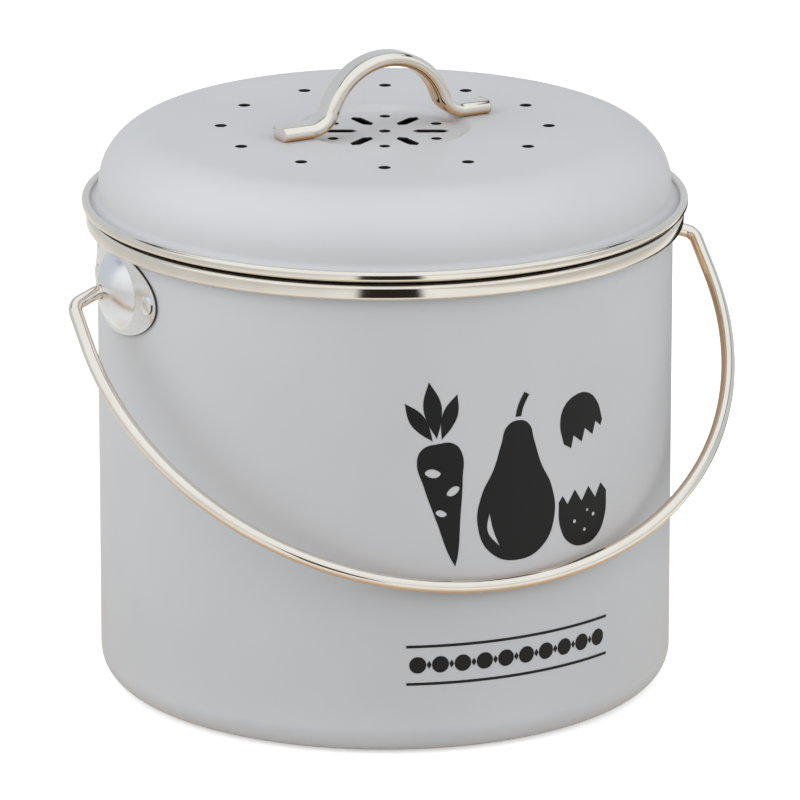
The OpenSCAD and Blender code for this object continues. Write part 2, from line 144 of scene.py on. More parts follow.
# X to the right as seen in the photograph, Y away from the camera, Z up
aimed = add(tree, "ShaderNodeMapping", {"Vector": way.outputs["Generated"],
            "Rotation": (0, 0, TURN)})
parts = add(tree, "ShaderNodeSeparateXYZ", {"Vector": aimed.outputs["Vector"]})
front = add(tree, "ShaderNodeValToRGB", {"Fac": parts.outputs["Z"]})
fill_ramp(front, [(0.0, "#e0ddd6"), (0.10, "#e6e4de"), (0.30, "#f2f1ee"), (0.6, "#f7f7f5")])
back = add(tree, "ShaderNodeValToRGB", {"Fac": parts.outputs["Z"]})
fill_ramp(back, [(0.0, "#cdd1d4"), (0.59, "#c9cdd1"), (0.62, "#2b2825"), (0.68, "#2b2825"),
                 (0.71, "#ebeae6"), (0.9, "#f7f7f5")])
behind = add(tree, "ShaderNodeMapRange", {"Value": parts.outputs["Y"], "From Min": -0.08,
             "From Max": 0.12})
# a Mix node in colour mode takes its colours at sockets 6 and 7, and gives socket 2
halves = add(tree, "ShaderNodeMix", data_type="RGBA", inputs={0: behind.outputs["Result"],
             6: front.outputs["Color"], 7: back.outputs["Color"]})
print("front and back bands:", len(front.color_ramp.elements), len(back.color_ramp.elements))

# %% World: dark gap between the front lights
# half width and half height of the gap, as parts of the way to it
GAP_W, GAP_H = 0.21, 0.13
ahead = add(tree, "ShaderNodeVectorMath", {0: aimed.outputs["Vector"], 1: (-0.02, 1, 0.02)},
            operation="ADD")
blob = add(tree, "ShaderNodeVectorMath", {0: ahead.outputs["Vector"],
           1: (1 / GAP_W, 1, 1 / GAP_H)}, operation="MULTIPLY")
off = add(tree, "ShaderNodeVectorMath", {0: blob.outputs["Vector"]}, operation="LENGTH")
gap = add(tree, "ShaderNodeMapRange", interpolation_type="SMOOTHSTEP", inputs={
          "Value": off.outputs["Value"], "From Min": 0.7, "From Max": 1.2,
          "To Min": 1.0, "To Max": 0.0})
room = add(tree, "ShaderNodeMix", data_type="RGBA", inputs={0: gap.outputs["Result"],
           6: halves.outputs[2], 7: srgb("#3a342c")})
mirrored = add(tree, "ShaderNodeBackground", {"Color": room.outputs[2], "Strength": 1.0})
shiny = add(tree, "ShaderNodeMath", {0: ray.outputs["Is Glossy Ray"],
            1: ray.outputs["Is Transmission Ray"]}, operation="MAXIMUM")
first = add(tree, "ShaderNodeMixShader", {"Fac": shiny.outputs[0], 1: fill.outputs[0],
            2: mirrored.outputs[0]})
second = add(tree, "ShaderNodeMixShader", {"Fac": ray.outputs["Is Camera Ray"],
             1: first.outputs[0], 2: seen.outputs[0]})
add(tree, "ShaderNodeOutputWorld", {"Surface": second.outputs[0]})
print("world nodes:", len(tree.nodes))

# %% [markdown]
# ## Lamps
# The photograph has large soft lights left and right of the camera and a soft one
# overhead, so its shadows are faint and the wall is a little lighter at its sides. A
# square area lamp is such a soft box. The lamps stay out of mirror rays, because the
# bright room already stands for them.

# %% Lamps
# name, angle from the camera in degrees, distance, height and size in m, watts
LAMPS = [("left_softbox", -66, 2.3, 1.40, 3.2, 57), ("right_softbox", 60, 2.3, 1.40, 3.2, 49),
         ("top_softbox", 15, 0.45, 2.4, 1.8, 6)]
AIM = Vector((0, 0, 100)) * MM
for name, angle, distance, up, size, watts in LAMPS:
    data = bpy.data.lights.new(name, "AREA")
    data.shape, data.size, data.energy = "SQUARE", size, watts
    data.color = srgb("#fdfdff")[:3]
    lamp = bpy.data.objects.new(name, data)
    turn = -math.pi / 2 - TURN + math.radians(angle)
    lamp.location = (distance * math.cos(turn), distance * math.sin(turn), up)
    lamp.rotation_euler = (AIM - lamp.location).to_track_quat("-Z", "Y").to_euler()
    lamp.visible_glossy = False
    bpy.context.scene.collection.objects.link(lamp)
print("lamps:", [row[0] for row in LAMPS])

# %% [markdown]
# ## Floor
# The pail stands on a pale table that fades into a white background. The floor takes
# the object's shadow. For camera rays part of its white is a steady glow, and far from
# the pail it is plain white, so that it joins the white world. A curved backdrop would
# do this too, but a flat floor looks right from every side.

# %% Floor: what the camera sees
bpy.ops.mesh.primitive_grid_add(x_subdivisions=8, y_subdivisions=8, size=16)
floor = bpy.context.active_object
floor.name = "floor"
table_top, tree, out = new_material("pale_table_top")
ray = add(tree, "ShaderNodeLightPath")
plain = add(tree, "ShaderNodeBsdfDiffuse", {"Color": srgb("#f2f2f2")})
glow = add(tree, "ShaderNodeEmission", {"Color": WHITE, "Strength": 0.45})
pale = add(tree, "ShaderNodeAddShader", {0: plain.outputs[0], 1: glow.outputs[0]})
spot = add(tree, "ShaderNodeTexCoord")
far = add(tree, "ShaderNodeVectorMath", {0: spot.outputs["Object"]}, operation="LENGTH")
white = add(tree, "ShaderNodeEmission", {"Color": WHITE, "Strength": 1.0})
fade = add(tree, "ShaderNodeMapRange", {"Value": far.outputs["Value"], "From Min": 0.45,
           "From Max": 1.3})
seen = add(tree, "ShaderNodeMixShader", {"Fac": fade.outputs["Result"], 1: pale.outputs[0],
           2: white.outputs[0]})
print("floor side in m:", floor.dimensions.x)

# %% [markdown]
# ## Light from the floor
# A pale floor throws light back up at the wall. In the photograph the wall is darker
# low down, so the floor returns less light near the pail than far from it. A smaller
# table would do the same, but would show in other views.

# %% Floor: what it throws back
# by the distance in metres from the middle of the pail
return_light = add(tree, "ShaderNodeValToRGB", {"Fac": far.outputs["Value"]})
fill_ramp(return_light, [(0.0, "#dfdedc"), (0.112, "#dfdedc"), (0.135, "#9a9997"),
                         (0.26, "#a1a09e"), (0.55, "#dad9d7")])
bounce = add(tree, "ShaderNodeBsdfDiffuse", {"Color": return_light.outputs["Color"]})
print("steps of returned light:", len(return_light.color_ramp.elements))

# %% [markdown]
# ## The table in the mirror
# Polished bands mirror the table in front of them, so rays from shiny metal see it as
# it was in the studio: cream in front, duller at the sides, warm close to the pail, and
# dark past its front edge and behind it to the right. Painted by place on the floor,
# these patches slide along the metal as real ones do when the pail is turned.

# %% Floor: cream, dull and warm zones
# X runs to the right as seen in the photograph, Y runs away from the camera
turned = add(tree, "ShaderNodeMapping", {"Vector": spot.outputs["Object"],
             "Rotation": (0, 0, TURN)})
across = add(tree, "ShaderNodeSeparateXYZ", {"Vector": turned.outputs["Vector"]})
side = add(tree, "ShaderNodeMapRange", {"Value": across.outputs["X"], "From Min": -0.8,
           "From Max": 0.8})
wings = add(tree, "ShaderNodeValToRGB", {"Fac": side.outputs["Result"]})
fill_ramp(wings, [(0.0, "#cfccc5"), (0.13, "#d3d0c9"), (0.33, "#e6e4de"), (0.5, "#f6f4ee"),
                  (0.78, "#f6f4ee"), (0.88, "#dad7cf"), (1.0, "#c9c4bb")])
near = add(tree, "ShaderNodeMapRange", {"Value": far.outputs["Value"], "From Min": 0.12,
           "From Max": 0.22, "To Min": 1.0, "To Max": 0.0})
table = add(tree, "ShaderNodeMix", data_type="RGBA", inputs={0: near.outputs["Result"],
            6: wings.outputs["Color"], 7: srgb("#cdb899")})
print("zones across the table:", len(wings.color_ramp.elements))

# %% Floor: dark patch in front
# a wedge, as wide as it is far
DARK = srgb("#2b251e")
level = add(tree, "ShaderNodeMath", {0: across.outputs["X"], 1: across.outputs["Y"]},
            operation="DIVIDE")
level = add(tree, "ShaderNodeMath", {0: level.outputs[0], 1: 0.035}, operation="ADD")
level = add(tree, "ShaderNodeMath", {0: level.outputs[0]}, operation="ABSOLUTE")
wedge = add(tree, "ShaderNodeMapRange", {"Value": level.outputs[0], "From Min": 0.17,
            "From Max": 0.225, "To Min": 1.0, "To Max": 0.0})
begin = add(tree, "ShaderNodeMapRange", {"Value": across.outputs["Y"], "From Min": -0.31,
            "From Max": -0.35, "To Min": 0.0, "To Max": 1.0})
inside = add(tree, "ShaderNodeMath", {0: wedge.outputs["Result"], 1: begin.outputs["Result"]},
             operation="MULTIPLY")
table = add(tree, "ShaderNodeMix", data_type="RGBA", inputs={0: inside.outputs[0],
            6: table.outputs[2], 7: DARK})
print("floor nodes so far:", len(tree.nodes))

# %% Floor: dark patch behind, and the finished floor
# middle and half widths of the patch in metres
PATCH_X, PATCH_Y, PATCH_W, PATCH_L = 0.26, 0.50, 0.16, 0.40
moved = add(tree, "ShaderNodeVectorMath", {0: turned.outputs["Vector"],
            1: (-PATCH_X, -PATCH_Y, 0)}, operation="ADD")
shape = add(tree, "ShaderNodeVectorMath", {0: moved.outputs["Vector"],
            1: (1 / PATCH_W, 1 / PATCH_L, 0)}, operation="MULTIPLY")
reach = add(tree, "ShaderNodeVectorMath", {0: shape.outputs["Vector"]}, operation="LENGTH")
edge = add(tree, "ShaderNodeMapRange", {"Value": reach.outputs["Value"], "From Min": 0.8,
           "From Max": 1.2, "To Min": 1.0, "To Max": 0.0})
table = add(tree, "ShaderNodeMix", data_type="RGBA", inputs={0: edge.outputs["Result"],
            6: table.outputs[2], 7: DARK})
warm = add(tree, "ShaderNodeEmission", {"Color": table.outputs[2], "Strength": 1.0})
first = add(tree, "ShaderNodeMixShader", {"Fac": ray.outputs["Is Camera Ray"],
            1: bounce.outputs[0], 2: seen.outputs[0]})
second = add(tree, "ShaderNodeMixShader", {"Fac": ray.outputs["Is Glossy Ray"],
             1: first.outputs[0], 2: warm.outputs[0]})
tree.links.new(second.outputs[0], out.inputs["Surface"])
floor.data.materials.append(table_top)
bpy.ops.object.select_all(action="DESELECT")
print("floor nodes:", len(tree.nodes))

# %% [markdown]
# ## Painted steel
# The pail and the lid are pressed from steel sheet and powder coated in light grey.
# Powder melts into a satin skin with a very fine "orange peel", about 1 mm from
# bump to bump, so highlights are soft and never mirror-like. One noise at the peel's
# size drives both bump and gloss, and a wide one keeps the grey from being dead flat.

# %% Painted steel
painted_steel, tree, out = new_material("powder_coated_steel")
place = add(tree, "ShaderNodeTexCoord")
skin = add(tree, "ShaderNodeTexNoise", {"Vector": place.outputs["Object"],
           "Scale": 1 / (1.1 * MM), "Detail": 2.0, "Roughness": 0.5})
cloud = add(tree, "ShaderNodeTexNoise", {"Vector": place.outputs["Object"],
            "Scale": 1 / (60 * MM), "Detail": 2.0, "Roughness": 0.5})
tone = add(tree, "ShaderNodeValToRGB", {"Fac": cloud.outputs["Fac"]})
fill_ramp(tone, [(0.3, "#c1c3c5"), (0.7, "#c5c7c9")])
satin = add(tree, "ShaderNodeMapRange", {"Value": skin.outputs["Fac"], "To Min": 0.40,
            "To Max": 0.47})
peel = add(tree, "ShaderNodeBump", {"Height": skin.outputs["Fac"], "Strength": 0.10,
           "Distance": 0.05 * MM})
face = add(tree, "ShaderNodeBsdfPrincipled", {"Base Color": tone.outputs["Color"],
           "Roughness": satin.outputs["Result"], "Normal": peel.outputs["Normal"],
           "IOR": 1.5})
tree.links.new(face.outputs[0], out.inputs["Surface"])
print("paint nodes:", len(tree.nodes))

# %% [markdown]
# ## Painted shade on edges
# A near-black colour that stands for shade. It is painted on the walls of the vents,
# on the lower edges of the rivet heads and on the rim of the ears, where the plate
# meets the wall. It gives the vents their crisp black outline.

# %% Painted edge shade
shade_on_edges, tree, out = new_material("painted_edge_shade")
place = add(tree, "ShaderNodeTexCoord")
shade_noise = add(tree, "ShaderNodeTexNoise", {"Vector": place.outputs["Object"],
           "Scale": 1 / (0.5 * MM), "Detail": 2.0})
tone = add(tree, "ShaderNodeValToRGB", {"Fac": shade_noise.outputs["Fac"]})
# near-black painted shade, a little uneven
fill_ramp(tone, [(0.3, "#1f1e1d"), (0.7, "#33312f")])
face = add(tree, "ShaderNodeBsdfPrincipled", {"Base Color": tone.outputs["Color"],
           "Roughness": 0.6})
tree.links.new(face.outputs[0], out.inputs["Surface"])
print("punched edge nodes:", len(tree.nodes))

# %% [markdown]
# ## Bright plated steel
# Rim trim, lid bead, bail and lid handle are steel that is polished and plated. The
# plating is a mirror with a slightly warm tint, broken by faint hairlines from
# polishing. A tan colour is painted on faces that look down and on the inside of the
# bail's bow: a painted reflection. It is strongest on the handle, less under the wire,
# and hardly there on the rolled bands. One function makes all three, because only the
# amounts differ.

# %% Bright plated steel
PIVOT_Z = 152.9


def plate(name, tan_reflection, inside=0.0):
    """Polished plating: how strong the painted tan reflection is on undersides, and inside the
    bow.
    """
    made, tree, out = new_material(name)
    place = add(tree, "ShaderNodeTexCoord")
    # hairlines are far finer than 0.8 mm, and are drawn that coarse to show at all
    hair = add(tree, "ShaderNodeTexNoise", {"Vector": place.outputs["Object"],
               "Scale": 1 / (0.8 * MM), "Detail": 3.0, "Roughness": 0.6})
    haze = add(tree, "ShaderNodeTexNoise", {"Vector": place.outputs["Object"],
               "Scale": 1 / (14 * MM), "Detail": 2.0, "Roughness": 0.5})
    blur = add(tree, "ShaderNodeMapRange", {"Value": haze.outputs["Fac"], "To Min": 0.05,
               "To Max": 0.12})
    tint = add(tree, "ShaderNodeValToRGB", {"Fac": haze.outputs["Fac"]})
    fill_ramp(tint, [(0.3, "#ece9e3"), (0.7, "#f1efea")])
    down = add(tree, "ShaderNodeSeparateXYZ", {"Vector": place.outputs["Normal"]})
    # painted tan reflection on faces that look down
    under = add(tree, "ShaderNodeMapRange", {"Value": down.outputs["Z"], "From Min": 0.0,
                "From Max": -0.45, "To Min": 0.0, "To Max": tan_reflection})
    from_pivot = add(tree, "ShaderNodeVectorMath", {0: place.outputs["Object"],
                     1: (0, 0, -PIVOT_Z * MM)}, operation="ADD")
    outwards = add(tree, "ShaderNodeVectorMath", {0: from_pivot.outputs["Vector"]},
                   operation="NORMALIZE")
    facing = add(tree, "ShaderNodeVectorMath", {0: outwards.outputs["Vector"],
                 1: place.outputs["Normal"]}, operation="DOT_PRODUCT")
    # painted tan reflection on faces inside the bow, turned towards the pivot
    inner = add(tree, "ShaderNodeMapRange", {"Value": facing.outputs["Value"],
                "From Min": -0.35, "From Max": -0.75, "To Min": 0.0, "To Max": inside})
    most = add(tree, "ShaderNodeMath", {0: under.outputs["Result"],
               1: inner.outputs["Result"]}, operation="MAXIMUM")
    # mix the painted tan reflection colour into the tint
    tan_reflection_mix = add(tree, "ShaderNodeMix", data_type="RGBA", inputs={0: most.outputs[0],
               6: tint.outputs["Color"], 7: srgb("#e0b482")})
    wave = add(tree, "ShaderNodeBump", {"Height": hair.outputs["Fac"], "Strength": 0.05,
               "Distance": 0.02 * MM})
    face = add(tree, "ShaderNodeBsdfPrincipled", {"Base Color": tan_reflection_mix.outputs[2],
               "Metallic": 1.0, "Roughness": blur.outputs["Result"],
               "Normal": wave.outputs["Normal"]})
    tree.links.new(face.outputs[0], out.inputs["Surface"])
    print(name, "nodes:", len(tree.nodes))
    return made


bright_band = plate("polished_nickel_band", 0.15)
bright_wire = plate("polished_nickel_wire", 0.45, 0.9)
bright_bar = plate("polished_nickel_bar", 1.0)

# %% [markdown]
# ## Pressed aluminium
# The ears and rivets are bare aluminium, pressed between polished tools. It is paler
# and cooler than the plating, and its reflections are softer, because the metal
# stretches a little while it is pressed.

# %% Pressed aluminium
bright_aluminium, tree, out = new_material("pressed_aluminium")
place = add(tree, "ShaderNodeTexCoord")
tumble = add(tree, "ShaderNodeTexNoise", {"Vector": place.outputs["Object"],
             "Scale": 1 / (3 * MM), "Detail": 3.0, "Roughness": 0.5})
blur = add(tree, "ShaderNodeMapRange", {"Value": tumble.outputs["Fac"], "To Min": 0.22,
           "To Max": 0.30})
tint = add(tree, "ShaderNodeValToRGB", {"Fac": tumble.outputs["Fac"]})
fill_ramp(tint, [(0.3, "#eef2f8"), (0.7, "#f3f6fb")])
dents = add(tree, "ShaderNodeBump", {"Height": tumble.outputs["Fac"], "Strength": 0.04,
            "Distance": 0.03 * MM})
face = add(tree, "ShaderNodeBsdfPrincipled", {"Base Color": tint.outputs["Color"],
           "Metallic": 1.0, "Roughness": blur.outputs["Result"],
           "Normal": dents.outputs["Normal"]})
tree.links.new(face.outputs[0], out.inputs["Surface"])
print("aluminium nodes:", len(tree.nodes))

# %% [markdown]
# ## Zinc plated steel, moulded plastic and charcoal felt
# Out of sight in the photograph, but seen as soon as the lid comes off: screws,
# washers and collar in dull zinc, a liner and a filter holder moulded in dark
# polypropylene with a fine spark-eroded grain, and a black mat of charcoal-filled
# fibre. Each has one pattern at the size of its grain: cells for zinc, noise for the
# rest.

# %% Zinc plated steel
zinc_steel, tree, out = new_material("zinc_plated_steel")
place = add(tree, "ShaderNodeTexCoord")
spangle = add(tree, "ShaderNodeTexVoronoi", {"Vector": place.outputs["Object"],
              "Scale": 1 / (2.5 * MM)})
tint = add(tree, "ShaderNodeValToRGB", {"Fac": spangle.outputs["Distance"]})
fill_ramp(tint, [(0.0, "#c3c7ca"), (1.0, "#d6d9dc")])
blur = add(tree, "ShaderNodeMapRange", {"Value": spangle.outputs["Distance"],
           "To Min": 0.28, "To Max": 0.42})
face = add(tree, "ShaderNodeBsdfPrincipled", {"Base Color": tint.outputs["Color"],
           "Metallic": 1.0, "Roughness": blur.outputs["Result"]})
tree.links.new(face.outputs[0], out.inputs["Surface"])
print("zinc nodes:", len(tree.nodes))

# %% Moulded polypropylene
moulded_plastic, tree, out = new_material("moulded_polypropylene")
place = add(tree, "ShaderNodeTexCoord")
# the real grain is about 0.2 mm, drawn three times as coarse to show
grain = add(tree, "ShaderNodeTexNoise", {"Vector": place.outputs["Object"],
            "Scale": 1 / (0.6 * MM), "Detail": 3.0, "Roughness": 0.6})
flow = add(tree, "ShaderNodeTexNoise", {"Vector": place.outputs["Object"],
           "Scale": 1 / (35 * MM), "Detail": 2.0, "Roughness": 0.5})
tint = add(tree, "ShaderNodeValToRGB", {"Fac": flow.outputs["Fac"]})
fill_ramp(tint, [(0.3, "#37322d"), (0.7, "#3f3933")])
etch = add(tree, "ShaderNodeBump", {"Height": grain.outputs["Fac"], "Strength": 0.25,
           "Distance": 0.06 * MM})
face = add(tree, "ShaderNodeBsdfPrincipled", {"Base Color": tint.outputs["Color"],
           "Roughness": 0.48, "IOR": 1.49, "Normal": etch.outputs["Normal"]})
tree.links.new(face.outputs[0], out.inputs["Surface"])
print("plastic nodes:", len(tree.nodes))

# %% Charcoal felt
charcoal_felt, tree, out = new_material("charcoal_fibre_mat")
place = add(tree, "ShaderNodeTexCoord")
fibres = add(tree, "ShaderNodeTexNoise", {"Vector": place.outputs["Object"],
             "Scale": 1 / (1.6 * MM), "Detail": 6.0, "Roughness": 0.75, "Distortion": 1.2})
tint = add(tree, "ShaderNodeValToRGB", {"Fac": fibres.outputs["Fac"]})
fill_ramp(tint, [(0.35, "#0e0e0f"), (0.7, "#2d2d2f")])
nap = add(tree, "ShaderNodeBump", {"Height": fibres.outputs["Fac"], "Strength": 0.8,
          "Distance": 0.6 * MM})
face = add(tree, "ShaderNodeBsdfPrincipled", {"Base Color": tint.outputs["Color"],
           "Roughness": 0.95, "Sheen Weight": 0.15, "Normal": nap.outputs["Normal"]})
tree.links.new(face.outputs[0], out.inputs["Surface"])
print("materials:", len(bpy.data.materials))

# %% [markdown]
# ## Screen-printed ink
# The decoration is one pass of black enamel through a screen: a flat, slightly satin
# film on the powder coat, a few hundredths of a millimetre thick. The mark of the
# screen is a slight change in gloss.

# %% Printed ink
printed_ink, tree, out = new_material("screen_printed_ink")
place = add(tree, "ShaderNodeTexCoord")
mesh_mark = add(tree, "ShaderNodeTexNoise", {"Vector": place.outputs["Object"],
                "Scale": 1 / (0.7 * MM), "Detail": 2.0})
tone = add(tree, "ShaderNodeValToRGB", {"Fac": mesh_mark.outputs["Fac"]})
fill_ramp(tone, [(0.3, "#0b0c0e"), (0.7, "#101114")])
satin = add(tree, "ShaderNodeMapRange", {"Value": mesh_mark.outputs["Fac"],
            "To Min": 0.48, "To Max": 0.58})
face = add(tree, "ShaderNodeBsdfPrincipled", {"Base Color": tone.outputs["Color"],
           "Roughness": satin.outputs["Result"], "IOR": 1.38})
tree.links.new(face.outputs[0], out.inputs["Surface"])
print("ink nodes:", len(tree.nodes))

# %% [markdown]
# ## Finishes for the CAD nodes
# Every node gets the finish of its real metal or plastic, the hidden ones too, because
# they show when the lid comes off. One table keeps them together, and the new pieces
# take their finish from it as well.

# %% Give each CAD node its finish
FINISH = {
    "pail_shell": painted_steel, "lid_shell": painted_steel,
    "pail_rim_trim": bright_band, "lid_bead": bright_band,
    "bail_handle": bright_wire, "lid_handle": bright_bar,
    "left_ear": bright_aluminium, "right_ear": bright_aluminium,
    "ear_rivets": bright_aluminium,
    "lid_collar": zinc_steel, "handle_screws": zinc_steel, "handle_washers": zinc_steel,
    "liner_bucket": moulded_plastic, "filter_holder": moulded_plastic,
    "filter_cover": moulded_plastic, "charcoal_filter": charcoal_felt,
}
for name, finish in FINISH.items():
    NODES[name].data.materials.clear()
    NODES[name].data.materials.append(finish)
print("finished nodes:", len(FINISH))

# %% [markdown]
# ## Small helpers for pieces
# An operator acts on everything that is selected, so one helper selects one object
# alone. Another joins a finished piece to its body and hides the CAD node that it
# stands for. The mesh helpers move the open end of a tube along, straight or round a
# bend, the way a wire is formed.


# %% Piece helpers
def only(piece):
    """Select one object alone and make it the active one."""
    bpy.ops.object.select_all(action="DESELECT")
    piece.select_set(True)
    bpy.context.view_layer.objects.active = piece


def join_up(piece, finish, body, node=None, second=None):
    """Give a piece its finish and body, and let it stand for a CAD node."""
    numbers = [f.material_index for f in piece.data.polygons]
    piece.data.materials.clear()
    for layer in (finish, second):
        if layer:
            piece.data.materials.append(layer)
    for face_of_piece, number in zip(piece.data.polygons, numbers):
        face_of_piece.material_index = number if second else 0
    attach(piece, body)
    if node:
        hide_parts(node)
    print(piece.name, "faces:", len(piece.data.polygons))


def clean_up(piece, angle):
    """In edit mode: merge doubles, turn faces outwards, then shade smoothly."""
    bpy.ops.mesh.select_all(action="SELECT")
    bpy.ops.mesh.remove_doubles(threshold=0.001 * MM)
    bpy.ops.mesh.normals_make_consistent(inside=False)
    bpy.ops.object.mode_set(mode="OBJECT")
    bpy.ops.object.shade_smooth_by_angle(angle=math.radians(angle))


def push(x, y, z):
    """Extrude the selected end by a step in mm."""
    bpy.ops.mesh.extrude_region_move(TRANSFORM_OT_translate={"value": (x * MM, y * MM, z * MM)})


def bend(centre, axis, degrees, steps):
    """Spin the selected end about a centre in mm, by the right-hand rule."""
    bpy.ops.mesh.spin(steps=steps, angle=-math.radians(degrees), axis=axis,
                      center=[c * MM for c in centre])


def arc(x, y, r, start, stop, steps):
    """Points along an arc, from one angle in degrees to another."""
    turns = [math.radians(start + (stop - start) * i / steps) for i in range(steps + 1)]
    return [(x + r * math.cos(a), y + r * math.sin(a)) for a in turns]


print("piece helpers ready")

# %% [markdown]
# ## Sheet metal that is already right
# The pail, the lid and the inner pieces have the right shape in the CAD model. Their
# copies here only get their loose triangles joined and their shading smoothed, with
# the larger faces counting for more, so that flat tops stay flat next to round edges.


# %% Smooth copies
def smooth_copy(node, name, body):
    """A joined, smoothly shaded copy that stands for a CAD node."""
    piece = bpy.data.objects.new(name, NODES[node].data.copy())
    bpy.context.scene.collection.objects.link(piece)
    only(piece)
    bpy.ops.mesh.customdata_custom_splitnormals_clear()
    bpy.ops.object.mode_set(mode="EDIT")
    bpy.ops.mesh.select_all(action="SELECT")
    bpy.ops.mesh.remove_doubles(threshold=0.001 * MM)
    bpy.ops.object.mode_set(mode="OBJECT")
    bpy.ops.object.shade_smooth_by_angle(angle=math.radians(32))
    weigh = piece.modifiers.new("weigh", "WEIGHTED_NORMAL")
    weigh.keep_sharp = True
    bpy.ops.object.modifier_apply(modifier="weigh")
    join_up(piece, FINISH[node], body, node)
    return piece


smooth_copy("pail_shell", "painted_pail", "pail")
rivets = smooth_copy("ear_rivets", "domed_rivets", "pail")
smooth_copy("liner_bucket", "plastic_liner", "liner")
smooth_copy("lid_collar", "welded_collar", "lid")
lid = smooth_copy("lid_shell", "painted_lid", "lid")

# %% [markdown]
# ## Painted shade in the vents and under the rivets
# The vents' walls and the lower edges of the rivet heads lie in shade and look dark, and
# that shade is painted on them. They are faces of the same sheet, so they are picked by
# place and direction and take a second material, which is cleaner than a separate ring
# in each hole.

# %% Painted shade on the walls of the punched vents
LID_TOP, VENT_DEPTH, VENTS_R = 201.8, 2.7, 62
lid.data.materials.append(shade_on_edges)
walls = [f for f in lid.data.polygons if abs(f.normal.z) < 0.3
         and f.center.z > (LID_TOP - VENT_DEPTH) * MM
         and math.hypot(f.center.x, f.center.y) < VENTS_R * MM]
for wall in walls:
    wall.material_index = 1
print("faces in vent walls:", len(walls))

# %% Painted shade on the lower edge of the rivet heads
RIVET_EDGE_R = 103.2
rivets.data.materials.append(shade_on_edges)
edges = [f for f in rivets.data.polygons if abs(f.normal.x) < 0.35 and f.normal.z < 0.2
         and math.hypot(f.center.x, f.center.y) > RIVET_EDGE_R * MM]
for edge_face in edges:
    edge_face.material_index = 1
print("faces in rivet edges:", len(edges))

# %% [markdown]
# ## Charcoal felt disc
# The filter is a thick disc cut from a mat of charcoal-filled fibre. The cut crushes
# its rim a little round, and its faces are never quite flat. It is lofted ring by ring
# from its lower face, inset to get rings across, and then made slightly uneven by a
# sum of sines, which gives the same mat on each run.

# %% Charcoal felt disc
FELT_R, FELT_LOW, FELT_HIGH, FELT_EDGE = 70.7, 186.0, 192.4, 1.6
RING_W, RINGS, UNEVEN = 7.2, 9, 0.17
felt_side = [(FELT_R - FELT_EDGE, FELT_LOW)]
felt_side += arc(FELT_R - FELT_EDGE, FELT_LOW + FELT_EDGE, FELT_EDGE, -90, 0, 4)[1:]
felt_side += arc(FELT_R - FELT_EDGE, FELT_HIGH - FELT_EDGE, FELT_EDGE, 0, 90, 4)
bpy.ops.object.select_all(action="DESELECT")
bpy.ops.mesh.primitive_circle_add(vertices=96, radius=felt_side[0][0] * MM, fill_type="NGON",
                                  location=(0, 0, FELT_LOW * MM))
felt = bpy.context.active_object
felt.name = "charcoal_felt_disc"
bpy.ops.object.transform_apply(location=True, rotation=True, scale=True)
bpy.ops.object.mode_set(mode="EDIT")
bpy.ops.mesh.select_all(action="SELECT")
for (r0, z0), (r1, z1) in zip(felt_side, felt_side[1:]):
    push(0, 0, z1 - z0)
    bpy.ops.transform.resize(value=(r1 / r0, r1 / r0, 1), center_override=(0, 0, z1 * MM))
bpy.ops.object.mode_set(mode="OBJECT")
for cap in felt.data.polygons:
    cap.select = abs(cap.normal.z) > 0.99 and len(cap.vertices) > 4
print("felt side faces:", len(felt.data.polygons) - 2)

# %% Rings across the felt, and its unevenness
bpy.ops.object.mode_set(mode="EDIT")
bpy.ops.mesh.select_mode(type="FACE")
for _ in range(RINGS):
    bpy.ops.mesh.inset(thickness=RING_W * MM)
bpy.ops.mesh.poke()
bpy.ops.mesh.select_mode(type="VERT")
bpy.ops.object.mode_set(mode="OBJECT")
for vert in felt.data.vertices:
    x, y = vert.co.x / MM, vert.co.y / MM
    wave = math.sin(0.23 * x + 0.4) * math.sin(0.19 * y + 1.1)
    wave += 0.5 * math.sin(0.41 * x - 0.37 * y)
    vert.co.z += UNEVEN * wave * MM
bpy.ops.object.mode_set(mode="EDIT")
clean_up(felt, 60)
join_up(felt, charcoal_felt, "filter", "charcoal_filter")

# %% [markdown]
# ## Rim trim and lid bead
# The pail's rim is covered by a folded band of bright metal, and the lid's brim ends
# in a rolled bead. Both are the same all round, so each is one outline that is spun
# about the pail's axis. The CAD rings have the same outlines in fewer steps, and a
# mirror shows every step, so many small ones keep the reflections even.


# %% Lathe helper
def lathe(name, outline):
    """Draw a closed outline of (radius, height) points in mm and spin it about Z."""
    bpy.ops.object.select_all(action="DESELECT")
    bpy.ops.mesh.primitive_plane_add(size=MM)
    piece = bpy.context.active_object
    piece.name = name
    bpy.ops.object.mode_set(mode="EDIT")
    bpy.ops.mesh.select_all(action="SELECT")
    bpy.ops.mesh.merge(type="CENTER")
    bpy.ops.transform.translate(value=(outline[0][0] * MM, 0, outline[0][1] * MM))
    for (r0, z0), (r1, z1) in zip(outline, outline[1:] + outline[:1]):
        bpy.ops.mesh.extrude_vertices_move(
            TRANSFORM_OT_translate={"value": ((r1 - r0) * MM, 0, (z1 - z0) * MM)})
    bpy.ops.mesh.select_all(action="SELECT")
    bpy.ops.mesh.remove_doubles(threshold=0.001 * MM)
    bpy.ops.mesh.spin(steps=192, angle=2 * math.pi, center=(0, 0, 0), axis=(0, 0, 1))
    clean_up(piece, 40)
    return piece


print("lathe ready")

# %% Rim trim
TRIM_R, TRIM_Z, TRIM_H, TRIM_T = 106.4, 169.7, 5.8, 0.5
EDGE_R, FACE_R, TRIM_IN, LIP_IN = 1.6, 18, 102.55, 103.3


